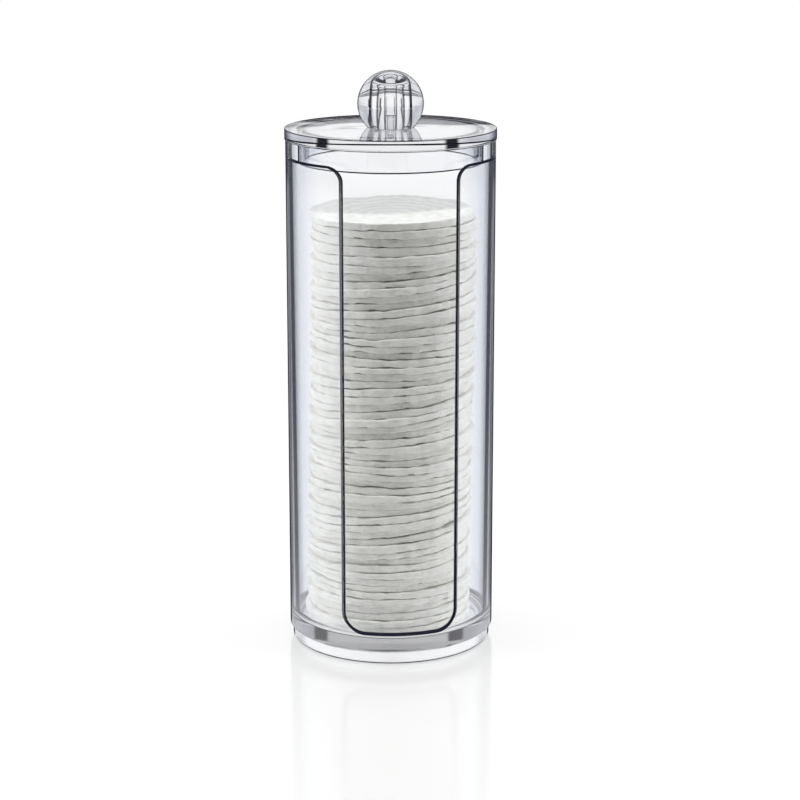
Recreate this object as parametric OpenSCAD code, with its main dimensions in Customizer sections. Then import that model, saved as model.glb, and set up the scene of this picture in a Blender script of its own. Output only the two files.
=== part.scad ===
// Clear cylindrical holder for round cotton pads, with a lift-off lid and a ball knob.
// Millimetres. The origin is on the cylinder's axis at the bottom of the foot ring.
// +Z is up, and the front opening faces -Y.

/* [Cotton pads] */
// Number of pads in a full stack
pad_count = 57; // [1:1:57]
// Radius of one pad
pad_r = 29.4; // [22:0.1:34]
// Thickness of one pad
pad_t = 2.58; // [1.5:0.02:4]
// Radius of the soft rounding at a pad's edge
pad_round = 0.9; // [0.2:0.1:1.2]
// Furthest that a pad lies off the axis
pad_shift = 2; // [0:0.1:3]

/* [Shell] */
// Room between the stack, shifted as far as it goes, and the foot of the wall
side_room = 3.5; // [3:0.1:8]
// Height left free between a full stack and the rim that carries the lid
head_room = 27.4; // [18:0.2:60]
// Thickness of the wall at the rim
wall_top = 1.5; // [1.2:0.1:2.5]
// Thickness of the wall where it meets the floor plate
wall_low = 2.3; // [1.8:0.1:3.4]
// Thickness of the floor plate
floor_t = 4.2; // [2.5:0.1:7]
// Radius of the fillet between the floor plate and the wall, inside
floor_fillet = 4; // [1:0.5:5]
// Radius of the small rounding under the edge of the floor plate
under_round = 0.7; // [0.3:0.1:1.5]

/* [Foot ring] */
// Height of the foot ring under the floor plate
foot_h = 4.3; // [2:0.1:8]
// How far the foot ring stands in from the outer wall
foot_inset = 1.1; // [0.9:0.1:2.5]
// Thickness of the foot ring
foot_t = 1.9; // [1.2:0.1:4]

/* [Front opening] */
// Width of the slot
slot_w = 38.6; // [24:0.2:46]
// Height of the sill that the slot leaves above the floor plate
sill_h = 3; // [1.5:0.5:12]
// Radius of the slot's two lower corners
slot_corner = 6.5; // [2:0.5:10]
// Radius of the shoulders where the slot meets the band under the lid
shoulder_r = 5.5; // [1:0.5:8]
// Height of the open band under the lid, round the front half
band_h = 5.5; // [3:0.5:12]
// Distance from the axis to the two upright ends of the band
band_end = 6.5; // [3:0.5:15]

/* [Lid] */
// How far the lid's flange stands out past the shell's outer wall
lid_overhang = 0.3; // [0:0.1:2]
// Thickness of the flange
lid_t = 4; // [2.5:0.1:6]
// Radius of the rounding on the flange's upper edge
lid_round = 0.5; // [0.2:0.1:1]
// Depth of the skirt that drops inside the shell
skirt_h = 8; // [4:0.5:16]
// Thickness of the skirt
skirt_t = 1.9; // [1.2:0.1:3]
// Clearance between the skirt and the inside of the wall at the rim
skirt_gap = 2.9; // [0.5:0.1:4]

/* [Knob] */
// Radius of the ball knob
ball_r = 11.7; // [8:0.1:16]
// Radius of the flat where the ball stands on the lid
ball_flat = 8.2; // [5:0.1:10]
// Radius of the hollow cored out of the knob from below
core_r = 5.1; // [4.6:0.1:6]
// Thickness of plastic left between the hollow's roof and the top of the ball
core_roof = 5.5; // [3:0.1:7]
// Radius of the boss that hangs in the middle of the hollow
boss_r = 2.3; // [1.9:0.1:3]
// Radius of the lid's pin, which stands in the boss
pin_r = 1.25; // [0.9:0.05:1.4]
// Height of the pin above the lid
pin_h = 5.2; // [3:0.1:9]
// Radial clearance between the pin and the hole in the boss
pin_gap = 0.05; // [0.02:0.01:0.15]
// Clearance between the end of the pin and the end of the hole
pin_end_gap = 0.4; // [0.2:0.1:1]

/* [Hidden] */
floor_top = foot_h + floor_t;
stack_h = pad_count * pad_t;
shell_h = floor_top + stack_h + head_room;
inner_low_r = pad_r + pad_shift + side_room;
shell_r = inner_low_r + wall_low;
inner_top_r = shell_r - wall_top;
foot_r = shell_r - foot_inset;
sill_z = floor_top + sill_h;
band_z = shell_h - band_h;
slot_half = slot_w / 2;
lid_r = shell_r + lid_overhang;
lid_top = shell_h + lid_t;
skirt_r = inner_top_r - skirt_gap;
ball_drop = sqrt(ball_r * ball_r - ball_flat * ball_flat);
ball_z = lid_top + ball_drop;
core_top = ball_z + ball_r - core_roof;
// Radius of the rounding at the roof of the knob's hollow
core_round = (core_r - boss_r) / 2;
pin_hole_r = pin_r + pin_gap;
pin_hole_h = pin_h + pin_end_gap;
pad_edge = min(pad_round, pad_t * 0.45);
// Margin by which a cutting solid passes the face that it cuts
past = 2;
// Share of the shift that the stack's lean takes, the rest being each pad's own
lean_share = 0.55;

// The stack leans to the left at its foot, and each pad lies a little off it
function pad_dx(i) = pad_shift * (-lean_share * cos(i * 180 / pad_count)
    + (1 - lean_share) * sin(i * 137.5));
function pad_dy(i) = pad_shift * (1 - lean_share) * cos(i * 99);
function two_digits(i) = i < 10 ? str("0", i) : str(i);
function pad_name(i) = str("pad_", two_digits(i));

// Half section of the shell: foot ring, floor plate and drafted wall, for rotate_extrude
module shell_section() {
    difference() {
        union() {
            translate([0, foot_h]) square([shell_r, shell_h - foot_h]);
            translate([foot_r - foot_t, 0]) square([foot_t, foot_h + floor_t / 2]);
        }
        // Rounding under the edge of the floor plate
        difference() {
            translate([shell_r - under_round, foot_h - past])
                square([under_round + past, under_round + past]);
            translate([shell_r - under_round, foot_h + under_round])
                circle(r = under_round, $fn = 48);
            translate([foot_r - foot_t, 0]) square([foot_t, foot_h]);
        }
        // Space inside the wall, wider at the rim by the mould's draft
        difference() {
            polygon([
                [-past, floor_top],
                [inner_low_r, floor_top],
                [inner_top_r, shell_h],
                [inner_top_r, shell_h + past],
                [-past, shell_h + past]
            ]);
            translate([inner_low_r - floor_fillet, floor_top])
                difference() {
                    square([floor_fillet + wall_low, floor_fillet]);
                    translate([0, floor_fillet]) circle(r = floor_fillet, $fn = 96);
                }
        }
    }
}

// Front view of the opening: a slot with round lower corners, flared into the band at its top
module opening_outline() {
    union() {
        translate([-slot_half, sill_z + slot_corner])
            square([slot_w, shell_h + past - sill_z - slot_corner]);
        translate([-slot_half + slot_corner, sill_z])
            square([slot_w - 2 * slot_corner, slot_corner + past]);
        for (side = [-1, 1])
            translate([side * (slot_half - slot_corner), sill_z + slot_corner])
                circle(r = slot_corner, $fn = 96);
        translate([-shell_r - past, band_z])
            square([2 * (shell_r + past), band_h + past]);
        for (side = [-1, 1])
            difference() {
                translate([side * (slot_half + shoulder_r / 2), band_z - shoulder_r / 2])
                    square(shoulder_r, center = true);
                translate([side * (slot_half + shoulder_r), band_z - shoulder_r])
                    circle(r = shoulder_r, $fn = 96);
            }
    }
}

module body_shell() {
    color([0.86, 0.89, 0.93, 0.4])
        difference() {
            rotate_extrude($fn = 180) shell_section();
            translate([0, -band_end, 0])
                rotate([90, 0, 0])
                    linear_extrude(height = shell_r - band_end + past) opening_outline();
        }
}

// Half section of the lid: the flange with its rounded upper edge, the skirt and the pin
module lid_section() {
    union() {
        translate([0, shell_h]) square([lid_r, lid_t - lid_round]);
        translate([0, shell_h]) square([lid_r - lid_round, lid_t]);
        translate([lid_r - lid_round, lid_top - lid_round]) circle(r = lid_round, $fn = 48);
        translate([skirt_r - skirt_t, shell_h - skirt_h])
            square([skirt_t, skirt_h + lid_t / 2]);
        translate([0, lid_top - lid_t / 2]) square([pin_r, pin_h + lid_t / 2]);
    }
}

module lid() {
    color([0.90, 0.92, 0.95, 0.4])
        rotate_extrude($fn = 180) lid_section();
}

// Half section of the knob: a ball with a flat foot, cored out around a boss for the pin
module knob_section() {
    difference() {
        intersection() {
            translate([0, ball_z]) circle(r = ball_r, $fn = 144);
            translate([0, lid_top]) square(2 * ball_r);
        }
        // Ring-shaped hollow with a round roof
        translate([boss_r, lid_top - past])
            square([core_r - boss_r, core_top - core_round - lid_top + past]);
        translate([boss_r + core_round, core_top - core_round])
            circle(r = core_round, $fn = 48);
        // Blind hole in the boss
        translate([-past, lid_top - past]) square([pin_hole_r + past, pin_hole_h + past]);
    }
}

module knob() {
    color([0.88, 0.90, 0.94, 0.5])
        rotate_extrude($fn = 144) knob_section();
}

// One round pad with a soft edge, i counted from the bottom of the stack
module pad(i) {
    color([0.95, 0.95, 0.92])
        translate([pad_dx(i), pad_dy(i), floor_top + (i - 1) * pad_t])
            rotate_extrude($fn = 120)
                union() {
                    square([pad_r - pad_edge, pad_t]);
                    translate([0, pad_edge]) square([pad_r, pad_t - 2 * pad_edge]);
                    for (z = [pad_edge, pad_t - pad_edge])
                        translate([pad_r - pad_edge, z]) circle(r = pad_edge, $fn = 32);
                }
}

body_shell();
lid();
knob();
for (i = [1:pad_count])
    pad(i);
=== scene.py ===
"""A clear holder for round cotton pads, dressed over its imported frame: shell, lid, ball knob and pads."""

import logging
import math
from dataclasses import dataclass, field
from enum import Enum

import bmesh
import bpy
from mathutils import Matrix, Vector

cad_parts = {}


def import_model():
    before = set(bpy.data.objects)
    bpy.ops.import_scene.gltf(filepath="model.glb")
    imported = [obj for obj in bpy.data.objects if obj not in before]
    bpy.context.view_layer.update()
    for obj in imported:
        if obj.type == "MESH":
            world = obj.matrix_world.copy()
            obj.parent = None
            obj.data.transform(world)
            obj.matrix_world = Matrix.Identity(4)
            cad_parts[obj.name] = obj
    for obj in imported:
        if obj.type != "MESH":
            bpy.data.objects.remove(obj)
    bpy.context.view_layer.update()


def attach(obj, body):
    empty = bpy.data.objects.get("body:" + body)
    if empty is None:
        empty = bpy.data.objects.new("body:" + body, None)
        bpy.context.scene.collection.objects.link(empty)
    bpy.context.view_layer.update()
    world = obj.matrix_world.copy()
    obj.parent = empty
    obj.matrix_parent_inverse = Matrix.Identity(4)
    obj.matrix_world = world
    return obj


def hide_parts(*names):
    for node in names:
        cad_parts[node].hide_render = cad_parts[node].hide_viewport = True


LOG = logging.getLogger("pad_holder")
MM = 0.001
Colour = tuple[float, float, float]
Pair = tuple[float, float]
Point = tuple[float, float, float]
Column = tuple[float, float, float, str]
Grid = list[list[int]]
Stops = tuple[tuple[float, Colour], ...]
Socket = bpy.types.NodeSocket
Sockets = bpy.types.NodeOutputs
Material = bpy.types.Material


class Ground(Enum):
    """The colours that the studio is made of."""

    PAPER = (1.0, 1.0, 1.0)
    FLOOR = (0.93, 0.93, 0.93)
    # Painted shade: the floor in front as bounce light sees it, darker as little light comes back from
    # there
    FRONT = (0.22, 0.22, 0.22)
    CARD = (0.006, 0.006, 0.010)


def grey(value: float, tint: float = 0.0) -> Colour:
    """A grey, or a grey with a little more blue."""
    return value, value, value + tint


def between(low: float, high: float, share: float) -> float:
    """The value at a share of the way from low to high."""
    return low + (high - low) * share


# Helpers for node trees


class Graph:
    """A thin layer over a node tree, for trees that are long lists of sums."""

    def __init__(self, tree: bpy.types.NodeTree) -> None:
        """Keeps a shader or geometry node tree."""
        self.tree = tree

    def add(self, kind: str, **settings: object) -> bpy.types.Node:
        """Adds a node.

        Args:
            kind: The node's bl_idname.
            settings: Properties to set on it.

        Returns:
            The new node.
        """
        node = self.tree.nodes.new(kind)
        for name, value in settings.items():
            setattr(node, name, value)
        return node

    def join(self, value: object, socket: Socket) -> None:
        """Links an input socket to an output socket, or sets its plain value.

        Args:
            value: The output socket or the plain value.
            socket: The input socket.
        """
        if isinstance(value, bpy.types.NodeSocket):
            self.tree.links.new(value, socket)
        else:
            socket.default_value = value

    def feed(self, node: bpy.types.Node, **inputs: object) -> Socket:
        """Links or sets inputs by their names, with _ for a space, or by number as n0, n1 and so on.

        Args:
            node: The node whose inputs are fed.
            inputs: Sockets to link from, or plain values.

        Returns:
            The node's first output, or None where it has no output.
        """
        for name, value in inputs.items():
            key = int(name[1:]) if name[0] == "n" and name[1:].isdigit() else name.replace("_", " ")
            self.join(value, node.inputs[key])
        return node.outputs[0] if node.outputs else None

    def fed(self, kind: str, **inputs: object) -> Socket:
        """Adds a node, feeds it and returns its first output."""
        return self.feed(self.add(kind), **inputs)

    def math(self, operation: str, *values: object) -> Socket:
        """A Math node's result.

        Args:
            operation: The node's operation, such as ADD.
            values: Its inputs, in order.

        Returns:
            The output socket.
        """
        node = self.add("ShaderNodeMath", operation=operation)
        for value, socket in zip(values, node.inputs):
            self.join(value, socket)
        return node.outputs[0]

    def times(self, first: object, *others: object) -> Socket:
        """The product of all values.

        Args:
            first: A socket or a number.
            others: Further sockets or numbers.

        Returns:
            The output socket.
        """
        for other in others:
            first = self.math("MULTIPLY", first, other)
        return first

    def plus(self, first: object, *others: object) -> Socket:
        """The sum of all values.

        Args:
            first: A socket or a number.
            others: Further sockets or numbers.

        Returns:
            The output socket.
        """
        for other in others:
            first = self.math("ADD", first, other)
        return first

    def minus(self, first: object, second: object) -> Socket:
        """The difference of two values."""
        return self.math("SUBTRACT", first, second)

    def scaled(self, value: object, factor: object, offset: object) -> Socket:
        """A value times a factor, plus an offset."""
        return self.math("MULTIPLY_ADD", value, factor, offset)

    def split(self, vector: object) -> Sockets:
        """The parts of a vector.

        Args:
            vector: The vector's socket.

        Returns:
            The sockets of X, Y and Z.
        """
        node = self.add("ShaderNodeSeparateXYZ")
        self.feed(node, Vector=vector)
        return node.outputs

    def length(self, vector: object) -> Socket:
        """The length of a vector.

        Args:
            vector: The vector's socket.

        Returns:
            The length's socket.
        """
        node = self.add("ShaderNodeVectorMath", operation="LENGTH")
        self.feed(node, n0=vector)
        return node.outputs["Value"]

    def noise(
        self, place: object, scale: float, detail: float, rough: float = 0.5, **more: object
    ) -> Socket:
        """A Noise Texture's value, in four dimensions where W is among the inputs.

        Args:
            place: Where the noise is read.
            scale: Its scale.
            detail: Its number of octaves.
            rough: Its roughness.
            more: Further inputs.

        Returns:
            The value's socket.
        """
        node = self.add("ShaderNodeTexNoise", noise_dimensions="4D" if "W" in more else "3D")
        return self.feed(node, Vector=place, Scale=scale, Detail=detail, Roughness=rough, **more)

    def curve(self, value: object, heights: tuple[float, ...]) -> Socket:
        """A Float Curve's result.

        Args:
            value: The input, from 0 to 1.
            heights: The curve's heights, at even steps of the input.

        Returns:
            The output socket.
        """
        node = self.add("ShaderNodeFloatCurve")
        line = node.mapping.curves[0]
        line.points[0].location, line.points[1].location = (0.0, heights[0]), (1.0, heights[-1])
        for k, height in enumerate(heights[1:-1], 1):
            line.points.new(k / (len(heights) - 1), height)
        node.mapping.update()
        return self.feed(node, Value=value)

    def span(self, value: object, low: float, high: float, **ends: float) -> Socket:
        """A Map Range's result, from 0 at low to 1 at high unless To_Min or To_Max says otherwise."""
        return self.fed("ShaderNodeMapRange", Value=value, From_Min=low, From_Max=high, **ends)

    def step(self, value: object, low: object, high: object) -> Socket:
        """A smooth step.

        Args:
            value: The input.
            low: Where the step leaves 0.
            high: Where it reaches 1.

        Returns:
            The output socket.
        """
        node = self.add("ShaderNodeMapRange", interpolation_type="SMOOTHSTEP")
        return self.feed(node, Value=value, From_Min=low, From_Max=high)

    def ramp(self, value: object, stops: Stops) -> Socket:
        """A Color Ramp's colour.

        Args:
            value: The input, from 0 to 1.
            stops: Positions and colours, from the lowest.

        Returns:
            The colour socket.
        """
        node = self.add("ShaderNodeValToRGB")
        line = node.color_ramp
        for k, (place, colour) in enumerate(stops):
            stop = line.elements[k] if k < 2 else line.elements.new(place)
            stop.position, stop.color = place, (*colour, 1.0)
        return self.feed(node, n0=value)

    def blend(self, factor: object, low: object, high: object) -> Socket:
        """A mix of two colours.

        Args:
            factor: Share of the second colour.
            low: The first colour, as a socket or a colour.
            high: The second colour.

        Returns:
            The colour socket.
        """
        node = self.add("ShaderNodeMix", data_type="RGBA")
        low, high = ((*c, 1.0) if isinstance(c, tuple) else c for c in (low, high))
        self.feed(node, n0=factor, n6=low, n7=high)
        return node.outputs[2]

    def mix(self, share: object, first: Socket, second: Socket) -> Socket:
        """A mix of two shaders, with the share of the second one."""
        return self.fed("ShaderNodeMixShader", n0=share, n1=first, n2=second)

    def let_through(self, surface: Socket, clear: Socket, out: bpy.types.Node) -> None:
        """Ends a clear material, so that lamps and soft light pass straight through it.

        Args:
            surface: The shader that is seen.
            clear: The transparent shader that light passes.
            out: The material's output node.
        """
        path = self.add("ShaderNodeLightPath").outputs
        straight = self.math("MAXIMUM", path["Is Shadow Ray"], path["Is Diffuse Ray"])
        self.feed(out, Surface=self.mix(straight, surface, clear))


def fresh_material(name: str) -> tuple[Material, Graph, bpy.types.Node]:
    """Makes an empty node material.

    Args:
        name: The material's name.

    Returns:
        The material, its graph and its output node.
    """
    material = bpy.data.materials.new(name)
    material.use_nodes = True
    material.node_tree.nodes.clear()
    graph = Graph(material.node_tree)
    return material, graph, graph.add("ShaderNodeOutputMaterial")


def fresh_group(name: str, kind: str, inputs: dict[str, str], outputs: dict[str, str]) -> tuple:
    """Makes a node group with named inputs and outputs.

    Args:
        name: The group's name.
        kind: ShaderNodeTree or GeometryNodeTree.
        inputs: The kind of each input by its name, such as Float.
        outputs: The same for the outputs.

    Returns:
        The group, its graph, the sockets of its inputs and the node that takes its outputs.
    """
    tree = bpy.data.node_groups.new(name, kind)
    for way, labels in (("INPUT", inputs), ("OUTPUT", outputs)):
        for label, socket in labels.items():
            tree.interface.new_socket(label, in_out=way, socket_type=f"NodeSocket{socket}")
    graph = Graph(tree)
    return tree, graph, graph.add("NodeGroupInput").outputs, graph.add("NodeGroupOutput")


# Finishes


def polish_group() -> bpy.types.NodeTree:
    """Builds the faint flow marks and smears of polished moulded plastic, once.

    Returns:
        A group with Flow, Smear and Base inputs and Height and Roughness outputs.
    """
    name = "moulded_polish"
    if name in bpy.data.node_groups:
        return bpy.data.node_groups[name]
    inputs = dict.fromkeys(("Flow", "Smear", "Base"), "Float")
    outputs = dict.fromkeys(("Height", "Roughness"), "Float")
    tree, graph, source, sink = fresh_group(name, "ShaderNodeTree", inputs, outputs)
    place = graph.add("ShaderNodeTexCoord").outputs["Object"]
    drawn_out = graph.fed("ShaderNodeMapping", Vector=place, Scale=(60.0, 60.0, 14.0))
    waves = graph.noise(drawn_out, 1.0, 1.0)
    smears = graph.noise(place, 110.0, 3.0)
    patches = graph.times(graph.math("POWER", smears, 4.0), source["Smear"])
    height = graph.times(waves, source["Flow"])
    graph.feed(sink, Height=height, Roughness=graph.plus(patches, source["Base"]))
    return tree


@dataclass(frozen=True)
class ClearPlastic:
    """Polished clear plastic. Where it is seen at a glancing angle it is painted blue-grey and then navy,
    with a painted dark line: painted shade and painted reflection of the dark room.
    """

    name: str
    # Painted shade and painted reflection: these ramps darken the glass by how glancing it is seen, from
    # outside and from inside
    outer: Stops = (
        (0.00, (0.985, 0.99, 1.0)),
        (0.30, (0.965, 0.97, 0.985)),
        (0.47, (0.80, 0.82, 0.88)),
        (0.68, (0.66, 0.69, 0.76)),
        (0.80, (0.40, 0.43, 0.50)),
    )
    inner: Stops = (
        (0.00, (0.985, 0.99, 1.0)),
        (0.215, (0.97, 0.975, 0.985)),
        (0.243, (0.12, 0.13, 0.17)),
        (0.262, (0.12, 0.13, 0.17)),
        (0.29, (0.86, 0.88, 0.92)),
        (1.00, (0.75, 0.77, 0.82)),
    )
    # The colour of the painted dark line, a painted reflection of the dark room, and the glancing angles
    # where it is drawn
    line: Colour = (0.012, 0.013, 0.03)
    outer_line: Pair = (0.81, 0.89)
    inner_line: Pair = (0.80, 0.95)
    inner_strength: float = 1.0
    # Where the painted dark glance line falls, and how dark it is
    painted_glance_line_begins: Pair = (0.240, 0.247)
    painted_glance_line_ends: Pair = (0.261, 0.268)
    painted_glance_line_strength: float = 0.0
    ior: float = 1.49
    haze: float = 0.0
    through: Colour = (0.95, 0.955, 0.96)
    smear: float = 0.05
    roughness: float = 0.004
    level_faces: bool = True
    # Painted shade on level faces seen from the inside
    level_painted_shade: float = 0.0

    def build(self) -> Material:
        """Builds the material.

        Returns:
            The material, with lamps and soft light let through straight.
        """
        material, graph, out = fresh_material(self.name)
        layer = graph.add("ShaderNodeLayerWeight")
        graph.feed(layer, Blend=0.5)
        facing = layer.outputs["Facing"]
        geometry = graph.add("ShaderNodeNewGeometry").outputs
        inside = geometry["Backfacing"]
        if self.level_faces:
            # Level faces are seen at a glancing angle too, and stay clear of the painted glancing shade
            upright = graph.step(graph.math("ABSOLUTE", graph.split(geometry["Normal"])["Z"]), 0.95, 0.55)
            facing = graph.times(facing, upright)
            level = graph.times(graph.minus(1.0, upright), inside)
        # The plastic's own faint blue, with painted shade where it is seen at a glancing angle
        tint = graph.blend(inside, graph.ramp(facing, self.outer), graph.ramp(facing, self.inner))
        polish = graph.add("ShaderNodeGroup", node_tree=polish_group())
        graph.feed(polish, Flow=1.0, Smear=self.smear, Base=self.roughness)
        bump = graph.fed("ShaderNodeBump", Strength=0.05, Distance=0.0004, Height=polish.outputs["Height"])
        glass = graph.fed(
            "ShaderNodeBsdfPrincipled",
            Base_Color=tint,
            Roughness=polish.outputs["Roughness"],
            IOR=self.ior,
            Transmission_Weight=1.0 - self.haze,
            Normal=bump,
        )
        # Painted reflection: a dark diffuse shader drawn as a line at glancing angles
        painted_dark_line = graph.fed("ShaderNodeBsdfDiffuse", Color=(*self.line, 1.0))
        from_outside = graph.step(facing, *self.outer_line)
        from_inside = graph.times(graph.step(facing, *self.inner_line), self.inner_strength)
        # A painted dark line, a painted reflection, where light begins to glance off the inside of the wall
        painted_glance_line = graph.minus(graph.step(facing, *self.painted_glance_line_begins), graph.step(facing, *self.painted_glance_line_ends))
        from_inside = graph.math("MAXIMUM", from_inside, graph.times(painted_glance_line, self.painted_glance_line_strength))
        drawn = graph.scaled(graph.minus(from_inside, from_outside), inside, from_outside)
        if self.level_faces:
            # Painted shade: a level face seen from the inside is mixed towards the painted dark line's
            # colour
            drawn = graph.math("MAXIMUM", drawn, graph.times(level, self.level_painted_shade))
        clear = graph.fed("ShaderNodeBsdfTransparent", Color=(*self.through, 1.0))
        graph.let_through(graph.mix(drawn, glass, painted_dark_line), clear, out)
        return material


@dataclass(frozen=True)
class CutEdge:
    """The cut edge of clear plastic, painted nearly black as a painted reflection of the room's dark, and a
    little clear.
    """

    name: str
    # Painted reflection: the nearly black colour stands in for the dark room seen in the edge
    colour: Colour = (0.010, 0.011, 0.024)
    clear: Colour = (0.62, 0.64, 0.70)
    clear_share: float = 0.012
    smear: float = 0.6
    roughness: float = 0.12
    ior: float = 1.12

    def build(self) -> Material:
        """Builds the material.

        Returns:
            The material, which also lets lamps and soft light through straight.
        """
        material, graph, out = fresh_material(self.name)
        polish = graph.add("ShaderNodeGroup", node_tree=polish_group())
        graph.feed(polish, Flow=1.0, Smear=self.smear, Base=self.roughness)
        dark = graph.fed(
            "ShaderNodeBsdfPrincipled",
            Base_Color=(*self.colour, 1.0),
            Roughness=polish.outputs["Roughness"],
            IOR=self.ior,
        )
        clear = graph.fed("ShaderNodeBsdfTransparent", Color=(*self.clear, 1.0))
        graph.let_through(graph.mix(self.clear_share, dark, clear), clear, out)
        return material


@dataclass(frozen=True)
class CottonWool:
    """Pressed cotton wool: off-white, matt, with fine layers along the edge, a felt of short fibres, and
    painted shade on the far half of the topmost pad.
    """

    name: str = "cotton_wool"
    colour: Colour = (0.90, 0.90, 0.865)
    shade: Colour = (0.70, 0.70, 0.66)
    # Painted shade: the grey of the far half of the topmost pad
    painted_far_shade: Colour = (0.56, 0.56, 0.55)
    top_z: float = 0.1525
    layer_scale: float = 1500.0
    fibre_scale: float = 900.0
    crease_scale: float = 620.0
    tuft_scale: float = 230.0
    ring_scale: float = 1500.0

    def build(self) -> Material:
        """Builds the material.

        Returns:
            The material, patterned in Object coordinates.
        """
        material, graph, out = fresh_material(self.name)
        place = graph.add("ShaderNodeTexCoord").outputs["Object"]
        flat = graph.fed("ShaderNodeMapping", Vector=place, Scale=(0.16, 0.16, 1.0))
        layers = graph.noise(flat, self.layer_scale, 3.0, 0.6)
        fibres = graph.noise(place, self.fibre_scale, 4.0, 0.7)
        tufts = graph.noise(place, self.tuft_scale, 3.0, 0.55)
        creases = graph.noise(place, self.crease_scale, 2.0, Distortion=1.2)
        mottle = graph.plus(graph.times(layers, 0.5), graph.times(tufts, 0.5))
        colour = graph.blend(graph.span(mottle, 0.30, 0.56), self.shade, self.colour)
        # Painted shade: the far half of the topmost pad is painted greyer, with crease arcs in the grey
        spot = graph.split(place)
        high = graph.step(spot["Z"], self.top_z, self.top_z + 0.0015)
        far = graph.step(graph.scaled(tufts, 0.008, spot["Y"]), 0.003, 0.009)
        reach = graph.length(graph.fed("ShaderNodeCombineXYZ", X=spot["X"], Y=spot["Y"]))
        rings = graph.math("SINE", graph.times(graph.scaled(tufts, 0.006, reach), self.ring_scale))
        painted_shade_mask = graph.times(high, far, graph.scaled(rings, 0.16, 0.80))
        colour = graph.blend(painted_shade_mask, colour, self.painted_far_shade)
        heights = ((layers, 0.8), (fibres, 0.5), (tufts, 0.9), (creases, 0.9))
        height = graph.plus(*(graph.times(noise, share) for noise, share in heights))
        felt = graph.fed(
            "ShaderNodeBsdfPrincipled",
            Base_Color=colour,
            Roughness=0.95,
            Specular_IOR_Level=0.15,
            Sheen_Weight=0.25,
            Sheen_Roughness=0.6,
            Normal=graph.fed("ShaderNodeBump", Strength=0.65, Distance=0.0005, Height=height),
        )
        graph.feed(out, Surface=felt)
        return material


# Painted shade and painted reflection: these finishes set where the dark lines are painted, and the ball's
# and core's ramps hold near-black painted bands
LID_FINISH = ClearPlastic("clear_lid", level_painted_shade=0.04, inner_line=(0.27, 0.34), inner_strength=0.9)
BALL_FINISH = ClearPlastic(
    "clear_ball",
    outer=(
        (0.00, (0.985, 0.985, 0.99)),
        (0.20, (0.92, 0.92, 0.93)),
        (0.34, (0.76, 0.77, 0.80)),
        (0.80, (0.66, 0.67, 0.71)),
    ),
    inner=(
        (0.00, (0.985, 0.985, 0.99)),
        (0.232, (0.93, 0.93, 0.95)),
        (0.245, (0.04, 0.04, 0.06)),
        (0.26, (0.04, 0.04, 0.06)),
        (0.28, (0.78, 0.79, 0.82)),
    ),
    outer_line=(0.80, 0.90),
    inner_line=(0.44, 0.60),
    level_faces=False,
)
CORE_FINISH = ClearPlastic(
    "clear_core",
    outer=(
        (0.00, (0.985, 0.985, 0.99)),
        (0.20, (0.90, 0.90, 0.92)),
        (0.36, (0.68, 0.69, 0.73)),
        (0.74, (0.52, 0.53, 0.58)),
    ),
    inner=(
        (0.00, (0.985, 0.985, 0.99)),
        (0.17, (0.95, 0.95, 0.96)),
        (0.19, (0.004, 0.004, 0.010)),
        (0.26, (0.004, 0.004, 0.010)),
        (0.28, (0.66, 0.67, 0.71)),
    ),
    outer_line=(0.76, 0.86),
    inner_line=(0.44, 0.60),
    level_faces=False,
)


# Lathe work


def around(radius: float, angle: float, height: float) -> Point:
    """A point at a radius, at an angle in radians from -Y towards +X, and at a height."""
    return radius * math.sin(angle), -radius * math.cos(angle), height


def place_object(name: str, data: bpy.types.ID) -> bpy.types.Object:
    """Puts a new object into the scene.

    Args:
        name: Its name.
        data: Its mesh, lamp or camera.

    Returns:
        The object, at the origin.
    """
    made = bpy.data.objects.new(name, data)
    bpy.context.scene.collection.objects.link(made)
    return made


def face_outward(mesh: bpy.types.Mesh) -> None:
    """Turns a mesh's faces outward and logs how many it has, and how many of its edges are open.

    Args:
        mesh: The mesh, which is changed.
    """
    work = bmesh.new()
    work.from_mesh(mesh)
    bmesh.ops.recalc_face_normals(work, faces=work.faces)
    open_edges = sum(1 for edge in work.edges if not edge.is_manifold)
    work.to_mesh(mesh)
    work.free()
    LOG.info("%s: %d faces, %d open edges", mesh.name, len(mesh.polygons), open_edges)


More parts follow.
